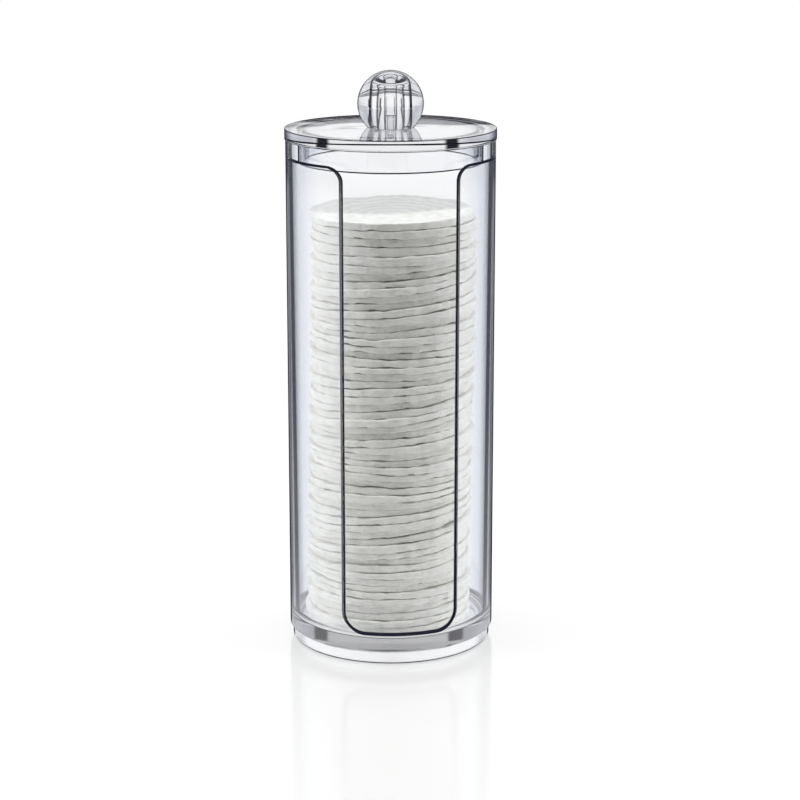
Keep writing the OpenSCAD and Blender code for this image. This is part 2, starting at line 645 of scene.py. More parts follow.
@dataclass
class Section:
    """A half section for turned pieces: points, outward normals, and the finish from each to the next."""

    points: list[Pair] = field(default_factory=list)
    normals: list[Pair] = field(default_factory=list)
    slots: list[int] = field(default_factory=list)

    def add(self, point: Pair, normal: Pair, slot: int = 0) -> None:
        """Adds one point.

        Args:
            point: Its radius and height.
            normal: Its outward normal.
            slot: The finish from here to the next point.
        """
        self.points.append(point)
        self.normals.append(normal)
        self.slots.append(slot)

    def flip(self) -> None:
        """Turns the normals to the other side."""
        self.normals = [(-x, -y) for x, y in self.normals]

    @classmethod
    def rounded(cls, corners: list[tuple[float, ...]], steps: int = 6) -> "Section":
        """Rounds a line of corners, with the outside on the line's left.

        Args:
            corners: Radius, height and rounding of each corner, then the finish of the rounding and that
                of the straight part after it, where they aren't the first.
            steps: Pieces that each rounding is made of.

        Returns:
            The section.
        """
        made = cls()
        for k, (x, y, rounding, *marks) in enumerate(corners):
            slot, after_slot = (*marks, 0, 0)[:2]
            here = Vector((x, y))
            before = (here - Vector(corners[k - 1][:2])).normalized() if k else None
            after = (Vector(corners[k + 1][:2]) - here).normalized() if k + 1 < len(corners) else None
            if before is None or after is None:
                way = after if before is None else before
                made.add((x, y), (-way.y, way.x), after_slot)
                continue
            turn = before.x * after.y - before.y * after.x
            angle = math.atan2(turn, before.dot(after))
            # A sharp corner gets a rounding too small to be seen
            radius = max(rounding, 0.02)
            sign = 1.0 if angle > 0 else -1.0
            start = here - before * radius * math.tan(abs(angle) / 2)
            centre = start + Vector((-before.y, before.x)) * radius * sign
            for step in range(steps + 1):
                spoke = Matrix.Rotation(angle * step / steps, 2) @ (start - centre)
                at = centre + spoke
                out = spoke.normalized() * -sign
                made.add((at.x, at.y), (out.x, out.y), slot if step < steps else after_slot)
        return made

    def arc(self, centre: Pair, radius: float, start: float, end: float, steps: int) -> None:
        """Adds an arc that bulges outwards.

        Args:
            centre: The arc's centre.
            radius: Its radius.
            start: First angle in degrees, from the horizontal.
            end: Last angle.
            steps: Number of pieces.
        """
        for step in range(steps + 1):
            a = math.radians(between(start, end, step / steps))
            out = (math.cos(a), math.sin(a))
            self.add((centre[0] + radius * out[0], centre[1] + radius * out[1]), out)


class Skin:
    """A mesh in the making: vertices in millimetres with their normals, and faces."""

    def __init__(self) -> None:
        """Starts empty."""
        self.points: list[Point] = []
        self.normals: list[Point] = []
        self.faces: list[tuple[int, ...]] = []
        self.slots: list[int] = []

    def vertex(self, point: Point, normal: Point) -> int:
        """Adds a vertex.

        Args:
            point: Its place.
            normal: Its outward normal.

        Returns:
            Its number.
        """
        self.points.append(point)
        self.normals.append(normal)
        return len(self.points) - 1

    def face(self, corners: tuple[int, ...], slot: int = 0) -> None:
        """Adds a face, as a triangle where two of its corners are one.

        Args:
            corners: Its vertices.
            slot: The number of its finish.
        """
        kept = tuple(dict.fromkeys(corners))
        if len(kept) > 2:
            self.faces.append(kept)
            self.slots.append(slot)

    def strip(self, low: list[int], high: list[int], slot: int = 0) -> None:
        """Joins two closed rows of vertices with quads, or with triangles where a row is one vertex.

        Args:
            low: The first row.
            high: The second row.
            slot: The number of the faces' finish.
        """
        count = max(len(low), len(high))
        for k in range(count):
            n = (k + 1) % count
            a, b = (low[k], low[n]) if len(low) > 1 else (low[0], low[0])
            c, d = (high[n], high[k]) if len(high) > 1 else (high[0], high[0])
            self.face((a, b, c, d), slot)

    def turn(self, section: Section, angles: list[float]) -> Grid:
        """Turns a section about the axis.

        Args:
            section: The half section.
            angles: Angles of the columns, in radians from -Y towards +X.

        Returns:
            The rows of vertices, one for each point of the section.
        """
        rows = []
        for (r, z), (nr, nz) in zip(section.points, section.normals):
            if r < 1e-6:
                rows.append([self.vertex((0.0, 0.0, z), (0.0, 0.0, 1.0 if nz > 0 else -1.0))])
            else:
                rows.append([self.vertex(around(r, a, z), around(nr, a, nz)) for a in angles])
        for low, high, slot in zip(rows, rows[1:], section.slots):
            self.strip(low, high, slot)
        return rows

    def turn_round(self, section: Section, columns: int) -> None:
        """Turns a section about the axis, in even columns."""
        self.turn(section, [2 * math.pi * k / columns for k in range(columns)])

    def piece(self, name: str, *finishes: Material) -> bpy.types.Object:
        """Makes the object, in metres, with its own normals.

        Args:
            name: The piece's name.
            finishes: Its finishes, in the order of their numbers.

        Returns:
            The object, at the origin.
        """
        mesh = bpy.data.meshes.new(name)
        mesh.from_pydata([tuple(c * MM for c in p) for p in self.points], [], self.faces)
        mesh.polygons.foreach_set("material_index", self.slots)
        mesh.validate()
        face_outward(mesh)
        mesh.shade_smooth()
        mesh.normals_split_custom_set_from_vertices([Vector(n).normalized() for n in self.normals])
        for finish in finishes:
            mesh.materials.append(finish)
        return place_object(name, mesh)


# Sub-assemblies


@dataclass
class Shell:
    """The moulded body: foot ring, floor plate and a drafted wall, cut open at the front. Millimetres."""

    outer_r: float = 37.2
    rim_z: float = 182.96
    past_rim: float = 1.0
    inner_top_r: float = 35.7
    inner_low_r: float = 34.9
    foot_h: float = 4.3
    foot_r: float = 36.1
    foot_t: float = 1.9
    floor_z: float = 8.5
    fillet: float = 4.0
    under_round: float = 0.7
    slot_half: float = 19.3
    sill_z: float = 11.5
    corner: float = 6.5
    shoulder: float = 5.5
    band_z: float = 177.46
    band_end: float = 6.5
    slot_inner_r: float = 34.85
    band_inner_r: float = 35.67
    plate_rings: Pair = (24.0, 12.0)
    bead: float = 0.78
    rim_bead: float = 0.45
    bead_steps: int = 8
    flat_columns: int = 14
    corner_columns: int = 16
    shoulder_columns: int = 12
    band_columns: int = 26
    back_columns: int = 64
    low_rows: int = 19
    under_rows: tuple[int, int] = (7, 12)
    under_share: float = 0.112
    mid_rows: int = 34
    top_rows: int = 5

    def wall_profile(self, inner: bool) -> list[Point]:
        """The wall's line from the floor or the underside up.

        Args:
            inner: True for the inside of the wall.

        Returns:
            Points of the line from its foot, as radius, height and the normal's slope.
        """
        if inner:
            r, z, rounding, steps, top_r = self.inner_low_r, self.floor_z, self.fillet, 12, self.inner_top_r
        else:
            r, z, rounding, steps, top_r = self.outer_r, self.foot_h, self.under_round, 8, self.outer_r
        line = []
        for k in range(steps + 1):
            a = math.radians(90 * k / steps)
            line.append((r - rounding + rounding * math.sin(a), z + rounding * (1 - math.cos(a)), a))
        line.append((top_r, self.rim_z + self.past_rim, math.pi / 2))
        return line

    def on_wall(self, line: list[Point], share: float, top: float) -> Point:
        """A point of the wall's line, by its share of the way up to a height.

        Args:
            line: The wall's line.
            share: From 0 at its foot to 1 at the top.
            top: The height where the wall ends here.

        Returns:
            Radius, height and the angle of the normal.
        """
        lengths = [0.0]
        for (r0, z0, _), (r1, z1, _) in zip(line, line[1:]):
            lengths.append(lengths[-1] + math.hypot(r1 - r0, z1 - z0))
        whole = lengths[-1]
        for k, ((_, z0, _), (_, z1, _)) in enumerate(zip(line, line[1:])):
            if z1 >= top > z0 - 1e-9:
                whole = between(lengths[k], lengths[k + 1], (top - z0) / (z1 - z0))
                break
        at = whole * share
        for k, ((r0, z0, a0), (r1, z1, a1)) in enumerate(zip(line, line[1:])):
            if at <= lengths[k + 1] + 1e-9:
                f = (at - lengths[k]) / (lengths[k + 1] - lengths[k])
                return between(r0, r1, f), between(z0, z1, f), between(a0, a1, f)
        return line[-1]

    def columns(self) -> list[Column]:
        """The wall's columns over its right half, from the front to the back.

        Returns:
            Outer angle, inner angle, height of the wall's end there, and its block: A under the slot,
            B under the band, C behind it.
        """
        b = self.bead
        half, corner, shoulder = self.slot_half + b, self.corner + b, self.shoulder - b
        sill, band, rim = self.sill_z - b, self.band_z - b, self.rim_z - self.rim_bead
        flat = half - corner
        made: list[Column] = []

        def at_width(w: float, top: float, block: str) -> None:
            """Adds a column at a distance from the middle of the slot."""
            made.append((math.asin(w / self.outer_r), math.asin(w / self.slot_inner_r), top, block))

        for k in range(self.flat_columns):
            at_width(flat * k / self.flat_columns, sill, "A")
        for k in range(self.corner_columns):
            a = math.radians(90 * k / self.corner_columns)
            at_width(flat + corner * math.sin(a), sill + corner * (1 - math.cos(a)), "A")
        for k in range(self.shoulder_columns + 1):
            a = math.radians(90 * k / self.shoulder_columns)
            at_width(half + shoulder * (1 - math.cos(a)), band - shoulder * (1 - math.sin(a)), "B")
        outer, inner = made[-1][:2]
        end = self.band_end - b
        last_outer, last_inner = math.acos(end / self.outer_r), math.acos(end / self.band_inner_r)
        for k in range(1, self.band_columns):
            f = k / self.band_columns
            made.append((between(outer, last_outer, f), between(inner, last_inner, f), band, "B"))
        for k in range(self.back_columns + 1):
            f = k / self.back_columns
            made.append((between(last_outer, math.pi, f), between(last_inner, math.pi, f), rim, "C"))
        return made

    def radius_at(self, inner: bool, z: float) -> float:
        """The wall's radius at a height above the fillet.

        Args:
            inner: True for the inside of the wall.
            z: The height.

        Returns:
            The radius.
        """
        foot = self.floor_z + self.fillet
        share = (z - foot) / (self.rim_z + self.past_rim - foot)
        return between(self.inner_low_r, self.inner_top_r, share) if inner else self.outer_r

    def column(self, inner: bool, top: float, block: str) -> list[Point]:
        """One column of the wall.

        Args:
            inner: True for the inside of the wall.
            top: The height where the wall ends here.
            block: Its block, A, B or C.

        Returns:
            Its points from the foot, as radius, height and the normal's slope.
        """
        if inner:
            shares = [k / self.low_rows for k in range(self.low_rows + 1)]
        else:
            # The rows stand close together in the small rounding under the wall
            close, wide = self.under_rows
            shares = [self.under_share * k / close for k in range(close)]
            shares += [between(self.under_share, 1.0, k / wide) for k in range(wide + 1)]
        line = self.wall_profile(inner)
        first = top if block == "A" else self.corner + self.sill_z
        made = [self.on_wall(line, share, first) for share in shares]
        ends = []
        if block in "BC":
            ends.append((top if block == "B" else self.band_z - self.bead, self.mid_rows))
        if block == "C":
            ends.append((top, self.top_rows))
        for end, count in ends:
            z0 = made[-1][1]
            for k in range(1, count + 1):
                z = between(z0, end, k / count)
                made.append((self.radius_at(inner, z), z, math.pi / 2))
        return made

    def build(self, *finishes: Material) -> bpy.types.Object:
        """Builds the shell as one closed skin.

        Args:
            finishes: The finish of its floor plate, of its cut edge, of its foot's small roundings, of its
                foot and of its wall.

        Returns:
            The piece.
        """
        skin = Skin()
        half = self.columns()
        # Round the whole shell, from the back over the left side: mirrored, then as made
        ring = [(-o, -i, top, block) for o, i, top, block in reversed(half[1:])] + half
        # The two ends at the back are one column
        ring = ring[1:]
        sides = {}
        for inner in (False, True):
            sign = -1.0 if inner else 1.0
            sides[inner] = []
            for outer_a, inner_a, top, block in ring:
                a = inner_a if inner else outer_a
                ids = []
                for r, z, tilt in self.column(inner, top, block):
                    normal = around(sign * math.sin(tilt), a, -sign * math.cos(tilt))
                    ids.append(skin.vertex(around(r, a, z), normal))
                sides[inner].append(ids)
        wall_foot = self.floor_z + self.fillet / 2
        for grid in sides.values():
            for here, there in zip(grid, grid[1:] + grid[:1]):
                for row in range(min(len(here), len(there)) - 1):
                    slot = 4 if skin.points[here[row]][2] > wall_foot else 0
                    skin.face((here[row], there[row], there[row + 1], here[row + 1]), slot)
        self.seal_cut(skin, ring, sides)
        self.close_foot(skin, ring, sides)
        return skin.piece("shell_clear", *finishes)

    def cut_path(self, grid: Grid) -> list[tuple[int, int]]:
        """The way round the cut, up and down where the wall's height changes.

        Args:
            grid: The vertex columns of one side.

        Returns:
            Column and row of each vertex on the way.
        """
        path: list[tuple[int, int]] = []
        for k, column in enumerate(grid):
            height, before, after = len(column), len(grid[k - 1]), len(grid[(k + 1) % len(grid)])
            if path and height > before:
                path += [(k, row) for row in range(before - 1, height - 1)]
            path.append((k, height - 1))
            if after < height:
                path += [(k, row) for row in range(height - 2, after - 2, -1)]
        return path

    def seal_cut(self, skin: Skin, ring: list[Column], sides: dict[bool, Grid]) -> None:
        """Rounds the cut edge all the way, with a bead that joins the outside of the wall to its inside.

        Args:
            skin: The mesh in the making.
            ring: The columns round the shell.
            sides: The vertex columns of the outside and the inside.
        """
        path = self.cut_path(sides[False])
        outer = [sides[False][k][row] for k, row in path]
        inner = [sides[True][k][row] for k, row in path]
        mids = [(Vector(skin.points[o]) + Vector(skin.points[i])) / 2 for o, i in zip(outer, inner)]
        halves = [(Vector(skin.points[o]) - Vector(skin.points[i])) / 2 for o, i in zip(outer, inner)]
        total = len(path)
        outs, depths = [], []
        for k, (column, row) in enumerate(path):
            radial = halves[k].normalized()
            ahead = (mids[(k + 1) % total] - mids[k]).normalized().cross(radial).normalized()
            behind = (mids[k] - mids[k - 1]).normalized().cross(radial).normalized()
            mean = (ahead + behind).normalized()
            at_rim = ring[column][3] == "C" and row == len(sides[False][column]) - 1
            outs.append(-mean)
            # At a corner the bead reaches further, but not more than 1 / 0.6 times
            depths.append((self.rim_bead if at_rim else self.bead) / max(mean.dot(ahead), 0.6))
        rows = [outer]
        for step in range(1, self.bead_steps):
            a = math.pi * step / self.bead_steps
            row = []
            for mid, half, out, depth in zip(mids, halves, outs, depths):
                at = mid + half * math.cos(a) + out * depth * math.sin(a)
                normal = half.normalized() * math.cos(a) / max(half.length, 0.1) + out * math.sin(a) / depth
                row.append(skin.vertex(tuple(at), tuple(normal.normalized())))
            rows.append(row)
        rows.append(inner)
        # The two upright ends of the band stay clear
        low_end = (self.band_z - self.bead) * 1.0001
        for k in range(total):
            n = (k + 1) % total
            upright = path[k][0] == path[n][0] and (mids[k].z + mids[n].z) / 2 > low_end
            for low, high in zip(rows, rows[1:]):
                skin.face((low[k], low[n], high[n], high[k]), 0 if upright else 1)

    def close_foot(self, skin: Skin, ring: list[Column], sides: dict[bool, Grid]) -> None:
        """Closes the shell below: the floor plate's top, and under it the foot ring and the recess.

        Args:
            skin: The mesh in the making.
            ring: The columns round the shell.
            sides: The vertex columns of the outside and the inside.
        """
        up = (0, 0, 1)
        rows = [[column[0] for column in sides[True]]]
        for r in self.plate_rings:
            rows.append([skin.vertex(around(r, inner_a, self.floor_z), up) for _, inner_a, _, _ in ring])
        rows.append([skin.vertex((0, 0, self.floor_z), up)])
        for low, high in zip(rows, rows[1:]):
            skin.strip(low, high)
        under = Section.rounded(
            [
                (0.0, self.foot_h, 0.0),
                (self.foot_r - self.foot_t, self.foot_h, 0.6, 0, 3),
                (self.foot_r - self.foot_t, 0.0, 0.4, 3, 3),
                (self.foot_r, 0.0, 0.45, 2, 3),
                (self.foot_r, self.foot_h, 0.2, 2),
                (self.outer_r - self.under_round, self.foot_h, 0.0),
            ]
        )
        under.flip()
        # From the outside in, without the last point, where the wall begins
        under.points, under.normals = under.points[-2::-1], under.normals[-2::-1]
        under.slots = under.slots[-3::-1]
        rows = skin.turn(under, [outer_a for outer_a, _, _, _ in ring])
        skin.strip([column[0] for column in sides[False]], rows[0])


@dataclass
class Lid:
    """The lift-off lid: a solid flange with a skirt under it and a pin on top. Millimetres."""

    flange_r: float = 37.5
    under_z: float = 182.96
    thick: float = 4.0
    edge: float = 0.3
    skirt_r: float = 32.8
    skirt_t: float = 1.9
    skirt_h: float = 8.0
    skirt_roots: Pair = (0.6, 0.5)
    skirt_round: float = 0.55
    pin_r: float = 1.25
    pin_h: float = 5.2
    columns: int = 288

    def build(self, *finishes: Material) -> bpy.types.Object:
        """Turns the lid.

        Args:
            finishes: The finish of its faces and of its small roundings.

        Returns:
            The piece.
        """
        top, foot = self.under_z + self.thick, self.under_z - self.skirt_h
        inner_root, outer_root = self.skirt_roots
        section = Section.rounded(
            [
                (0.0, self.under_z, 0.0),
                (self.skirt_r - self.skirt_t, self.under_z, inner_root),
                (self.skirt_r - self.skirt_t, foot, self.skirt_round),
                (self.skirt_r, foot, self.skirt_round, 1),
                (self.skirt_r, self.under_z, outer_root),
                (self.flange_r, self.under_z, self.edge, 1),
                (self.flange_r, top, self.edge, 1),
                (self.pin_r, top, self.edge),
                (self.pin_r, top + self.pin_h, self.edge),
                (0.0, top + self.pin_h, 0.0),
            ],
            8,
        )
        section.flip()
        skin = Skin()
        skin.turn_round(section, self.columns)
        return skin.piece("lid_clear", *finishes)


@dataclass
class Knob:
    """The ball knob, cut flat at its foot and cored out round a boss. Millimetres."""

    seat_z: float = 186.96
    radius: float = 11.7
    flat_r: float = 8.2
    core_r: float = 5.1
    core_roof: float = 5.5
    boss_r: float = 2.3
    hole_r: float = 1.3
    hole_h: float = 5.6
    film: float = 0.04
    edge: float = 0.2
    soft_edge: float = 0.3
    core_round: float = 1.3
    edge_turn: float = 1.2
    columns: int = 192
    arc_steps: int = 72

    def build(self, *finishes: Material) -> bpy.types.Object:
        """Turns the knob.

        Args:
            finishes: The finish of the ball and that of its core.

        Returns:
            The piece.
        """
        drop = math.sqrt(self.radius**2 - self.flat_r**2)
        centre = self.seat_z + drop
        # A film of air over the lid keeps the two from being one
        foot = self.seat_z + self.film
        roof = centre + self.radius - self.core_roof
        section = Section.rounded(
            [
                (0.0, self.seat_z + self.hole_h, 0.0),
                (self.hole_r, self.seat_z + self.hole_h, self.soft_edge),
                (self.hole_r, foot, self.edge),
                (self.boss_r, foot, self.edge),
                (self.boss_r, roof, self.core_round),
                (self.core_r, roof, self.core_round),
                (self.core_r, foot, self.soft_edge),
                (self.flat_r, foot, 0.0),
            ],
            8,
        )
        section.slots = [1] * len(section.slots)
        section.flip()
        start = math.degrees(math.asin(-drop / self.radius))
        section.arc((0.0, centre), self.radius, start + self.edge_turn, 90.0, self.arc_steps)
        section.points[-1] = (0.0, centre + self.radius)
        skin = Skin()
        skin.turn_round(section, self.columns)
        return skin.piece("knob_clear", *finishes)


@dataclass
class PadStack:
    """The stack of cotton pads, which a node tree lays one on another. Millimetres and degrees.

    A pad's edge is drawn by how far it reaches out and how high it rises, at even steps from its rim to its
    middle. Each of the waves has a scale, a place among the seeds and a height.
    """

    count: int = 57
    radius: float = 29.4
    pitch: float = 2.58
    foot_z: float = 8.55
    shift: float = 2.0
    sway_turn: float = 137.5
    depth_turn: float = 99.0
    lean_share: float = 0.55
    slope: float = 0.085
    waviness: float = 0.62
    frayed: float = 1.1
    curl: float = 2.6
    segments: int = 170
    rows: int = 13
    seed: float = 3.0
    edge_reach: tuple[float, ...] = (1.0, 0.9998, 0.998, 0.987, 0.95, 0.62, 0.0)
    edge_rise: tuple[float, ...] = (0.0, 0.62, 0.955, 0.997, 1.0, 1.0, 1.0)
    waves: tuple[Point, ...] = ((42.0, 0.0, 2.4), (150.0, 9.0, 0.8), (380.0, 4.0, 0.95))

    def given(self, finish: Material) -> dict[str, tuple[str, object]]:
        """The node tree's named inputs.

        Args:
            finish: The pads' finish.

        Returns:
            Kind and value of each input, with lengths in metres.
        """
        return {
            "Pads": ("Int", self.count),
            "Segments": ("Int", self.segments),
            "Rows": ("Int", self.rows),
            "Radius": ("Float", self.radius * MM),
            "Pitch": ("Float", self.pitch * MM),
            "Foot": ("Float", self.foot_z * MM),
            "Shift": ("Float", self.shift * MM),
            "Lean Share": ("Float", self.lean_share),
            "Slope": ("Float", self.slope),
            "Waviness": ("Float", self.waviness * MM),
            "Frayed": ("Float", self.frayed * MM),
            "Curl": ("Float", self.curl * MM),
            "Seed": ("Float", self.seed),
            "Finish": ("Material", finish),
        }

    def tree(self, kinds: dict[str, str]) -> bpy.types.GeometryNodeTree:
        """Builds the node tree: one soft disc, copied up a line, then shifted, sloped and frayed.

        Args:
            kinds: The kind of each named input.

        Returns:
            The tree.
        """
        shape = {"Geometry": "Geometry"}
        tree, graph, value, sink = fresh_group("pad_stack", "GeometryNodeTree", shape | kinds, shape)
        start = graph.fed("ShaderNodeCombineXYZ", Z=graph.scaled(value["Pitch"], 0.5, value["Foot"]))
        step = graph.fed("ShaderNodeCombineXYZ", Z=value["Pitch"])
        line = graph.add("GeometryNodeMeshLine", mode="OFFSET")
        graph.feed(line, Count=value["Pads"], Start_Location=start, Offset=step)
        named = graph.add("GeometryNodeStoreNamedAttribute", data_type="FLOAT", domain="POINT")
        number = graph.plus(graph.fed("GeometryNodeInputIndex"), 1.0)
        graph.feed(named, Geometry=line.outputs[0], Name="pad_number", Value=number)
        disc = self.soft_disc(graph, value)
        copies = graph.fed("GeometryNodeInstanceOnPoints", Points=named.outputs[0], Instance=disc)
        real = graph.fed("GeometryNodeRealizeInstances", Geometry=copies)
        moved = graph.fed("GeometryNodeSetPosition", Geometry=real, Offset=self.lie(graph, value))
        smooth = graph.fed("GeometryNodeSetShadeSmooth", Geometry=moved)
        final = graph.fed("GeometryNodeRealizeInstances", Geometry=smooth)
        dressed = graph.fed("GeometryNodeSetMaterial", Geometry=final, Material=value["Finish"])
        graph.feed(sink, Geometry=dressed)
        return tree

    def soft_disc(self, graph: Graph, value: Sockets) -> Socket:
        """Rolls a grid into one disc with a soft edge, centred on its own middle.

        Args:
            graph: The tree.
            value: The tree's named inputs.

        Returns:
            The disc's geometry.
        """
        columns = graph.plus(value["Segments"], 1.0)
        grid = graph.fed(
            "GeometryNodeMeshGrid", Size_X=1.0, Size_Y=1.0, Vertices_X=columns, Vertices_Y=value["Rows"]
        )
        place = graph.split(graph.fed("GeometryNodeInputPosition"))
        angle = graph.times(place["X"], 2 * math.pi)
        # From -1 under the pad's middle, over 0 at its edge, to 1 above its middle
        way = graph.times(place["Y"], 2.0)
        off_rim = graph.math("ABSOLUTE", way)
        reach = graph.curve(off_rim, self.edge_reach)
        rise = graph.curve(off_rim, self.edge_rise)
        radius = graph.times(reach, value["Radius"])
        half = graph.times(value["Pitch"], 0.5)
        spot = graph.fed(
            "ShaderNodeCombineXYZ",
            X=graph.times(radius, graph.math("COSINE", angle)),
            Y=graph.times(radius, graph.math("SINE", angle)),
            Z=graph.times(rise, half, graph.math("SIGN", way)),
        )
        rolled = graph.fed("GeometryNodeSetPosition", Geometry=grid, Position=spot)
        return graph.fed("GeometryNodeMergeByDistance", Geometry=rolled, Distance=0.000005)

    def lie(self, graph: Graph, value: Sockets) -> Socket:
        """How far each point moves: by the stack's lean, its pad's own shift, slope, waves and frayed rim.

        Args:
            graph: The tree.
            value: The tree's named inputs.

        Returns:
            The offset vector.
        """
        named = graph.add("GeometryNodeInputNamedAttribute", data_type="FLOAT")
        number = graph.feed(named, Name="pad_number")
        spot = graph.fed("GeometryNodeInputPosition")
        place = graph.split(spot)
        own = graph.minus(1.0, value["Lean Share"])
        lean = graph.math("COSINE", graph.math("DIVIDE", graph.times(number, math.pi), value["Pads"]))
        sway = graph.math("SINE", graph.times(number, math.radians(self.sway_turn)))
        side = graph.minus(graph.times(own, sway), graph.times(value["Lean Share"], lean))
        depth = graph.times(own, graph.math("COSINE", graph.times(number, math.radians(self.depth_turn))))
        # Slope: steepest about three heights of the stack, and none on the floor plate
        fade = graph.step(graph.minus(place["Z"], value["Foot"]), 0.0, 0.014)
        steepest, apart = 0.131, 0.0430
        swing = graph.math("COSINE", graph.times(graph.minus(place["Z"], steepest), 2 * math.pi / apart))
        tilt = graph.times(value["Slope"], graph.scaled(swing, 0.55, 0.60), fade, place["X"])
        # Waves that neighbouring pads share: long, middling and short
        stretch = graph.add("ShaderNodeVectorMath", operation="MULTIPLY")
        broad = graph.feed(stretch, n0=spot, n1=(1.0, 1.0, 1.6))
        swells = []
        for scale, later, height in self.waves:
            swell = graph.noise(broad, scale, 1.0, W=graph.plus(value["Seed"], later))
            swells.append(graph.times(graph.minus(swell, 0.5), height))
        waved = graph.times(graph.plus(*swells), value["Waviness"], fade)
        # Each pad's own rim: frayed in and out, and pinched here and there
        level = graph.fed("ShaderNodeCombineXYZ", X=place["X"], Y=place["Y"])
        reach = graph.length(level)
        rim = graph.step(graph.math("DIVIDE", reach, value["Radius"]), 0.72, 0.99)
        own_w = graph.scaled(number, 3.71, value["Seed"])
        fray = graph.noise(level, 170.0, 4.0, 0.7, W=own_w)
        nip = graph.noise(level, 115.0, 3.0, 0.65, W=graph.plus(own_w, 51.3))
        outward = graph.times(graph.minus(fray, 0.5), value["Frayed"], rim)
        spread = graph.math("DIVIDE", outward, graph.math("MAXIMUM", reach, 0.001))
        middle = graph.scaled(graph.minus(number, 0.5), value["Pitch"], value["Foot"])
        pinch = graph.span(nip, 0.47, 0.68, To_Min=0.0, To_Max=-0.42)
        pinched = graph.times(graph.minus(place["Z"], middle), pinch, rim)
        return graph.fed(
            "ShaderNodeCombineXYZ",
            X=graph.plus(graph.times(side, value["Shift"]), graph.times(place["X"], spread)),
            Y=graph.plus(graph.times(depth, value["Shift"]), graph.times(place["Y"], spread)),
            Z=graph.plus(tilt, waved, pinched, self.curled(graph, value, place)),
        )

    def curled(self, graph: Graph, value: Sockets, place: Sockets) -> Socket:
        """How far the topmost pads stand up at their rim, most of all at the far side.

        Args:
            graph: The tree.
            value: The tree's named inputs.
            place: The point's coordinates.

        Returns:
            The rise.
        """
        top = graph.scaled(value["Pads"], value["Pitch"], value["Foot"])
        below = graph.math("DIVIDE", graph.minus(top, place["Z"]), value["Pitch"])
        among_top = graph.step(below, 6.0, 0.5)
        depth = graph.math("DIVIDE", place["Y"], value["Radius"])
        across = graph.math("DIVIDE", place["X"], value["Radius"])
        out = graph.plus(graph.times(depth, depth), graph.times(across, across))
        far = graph.scaled(graph.step(depth, -0.9, 0.9), 0.25, 0.75)
        return graph.times(out, among_top, far, value["Curl"])

    def build(self, finish: Material) -> bpy.types.Object:
        """Runs the tree and keeps its result as a plain mesh.

        Args:
            finish: The pads' finish.

        Returns:
            The piece.
        """
        seedling = place_object("stack_seed", bpy.data.meshes.new("stack_seed"))
        given = self.given(finish)
        modifier = seedling.modifiers.new("stack", "NODES")
        modifier.node_group = self.tree({label: kind for label, (kind, _) in given.items()})
        for item in modifier.node_group.interface.items_tree:
            if item.in_out == "INPUT" and item.name in given:
                modifier[item.identifier] = given[item.name][1]
        bpy.context.view_layer.update()
        ready = seedling.evaluated_get(bpy.context.evaluated_depsgraph_get())
        mesh = bpy.data.meshes.new_from_object(ready)
        bpy.data.objects.remove(seedling)
        mesh.name = "pads_cotton"
        face_outward(mesh)
        return place_object(mesh.name, mesh)


# Studio


def room_group() -> bpy.types.NodeTree:
    """Builds what the clear parts see round them, by the angle from straight behind the holder, once.

    Returns:
        A group that gives the colours seen through and mirrored, the angle and the dark cards' mask.
    """
    name = "room"
    if name in bpy.data.node_groups:
        return bpy.data.node_groups[name]
    tree, graph, source, sink = fresh_group(
        name,
        "ShaderNodeTree",
        {"Way": "Vector"} | dict.fromkeys(("Back", "Rise", "Card", "Card Off", "Lean"), "Float"),
        {"Through": "Color", "Mirrored": "Color", "Off Back": "Float", "Dark": "Float"},
    )
    turned = graph.add("ShaderNodeVectorRotate", rotation_type="Z_AXIS")
    way = graph.split(graph.feed(turned, Vector=source["Way"], Angle=graph.times(source["Back"], -1.0)))
    turn = graph.math("DEGREES", graph.math("ARCTAN2", way["X"], way["Y"]))
    off_back = graph.math("DIVIDE", graph.math("ABSOLUTE", turn), 180.0)
    # The two dark cards lean with the height and widen at the top: in degrees, the height where they
    # stand as set, the heights between which they widen, by how much, and their soft edge
    level, widening, wider, edge = 7.0, (12.0, 17.0), 1.5, (4.6, 2.2)
    leant = graph.times(graph.minus(source["Rise"], level), source["Lean"])
    card = graph.plus(graph.math("ABSOLUTE", graph.minus(turn, source["Card Off"])), leant)
    miss = graph.math("ABSOLUTE", graph.minus(card, source["Card"]))
    wide = graph.times(graph.step(source["Rise"], *widening), wider)
    dark = graph.step(graph.minus(miss, wide), *edge)
    open_sky = graph.ramp(
        off_back,
        (
            (0.0, grey(0.97)),
            (0.12, grey(0.92, 0.01)),
            (0.20, (0.60, 0.61, 0.65)),
            (0.34, (0.86, 0.87, 0.90)),
            (0.62, (0.80, 0.81, 0.84)),
            (0.80, (0.25, 0.26, 0.30)),
            (1.0, (0.14, 0.15, 0.18)),
        ),
    )
    mirrored = graph.ramp(
        off_back,
        (
            (0.0, grey(0.9)),
            (0.12, grey(0.8)),
            (0.20, grey(0.12, 0.02)),
            (0.30, grey(0.20, 0.02)),
            (0.42, grey(1.2, 0.02)),
            (0.56, grey(2.2, 0.02)),
            (0.70, grey(2.9, 0.02)),
            (1.0, grey(0.45, 0.02)),
        ),
    )
    through = graph.blend(dark, open_sky, Ground.CARD.value)
    graph.feed(sink, Through=through, Mirrored=mirrored, Off_Back=off_back, Dark=dark)
    return tree


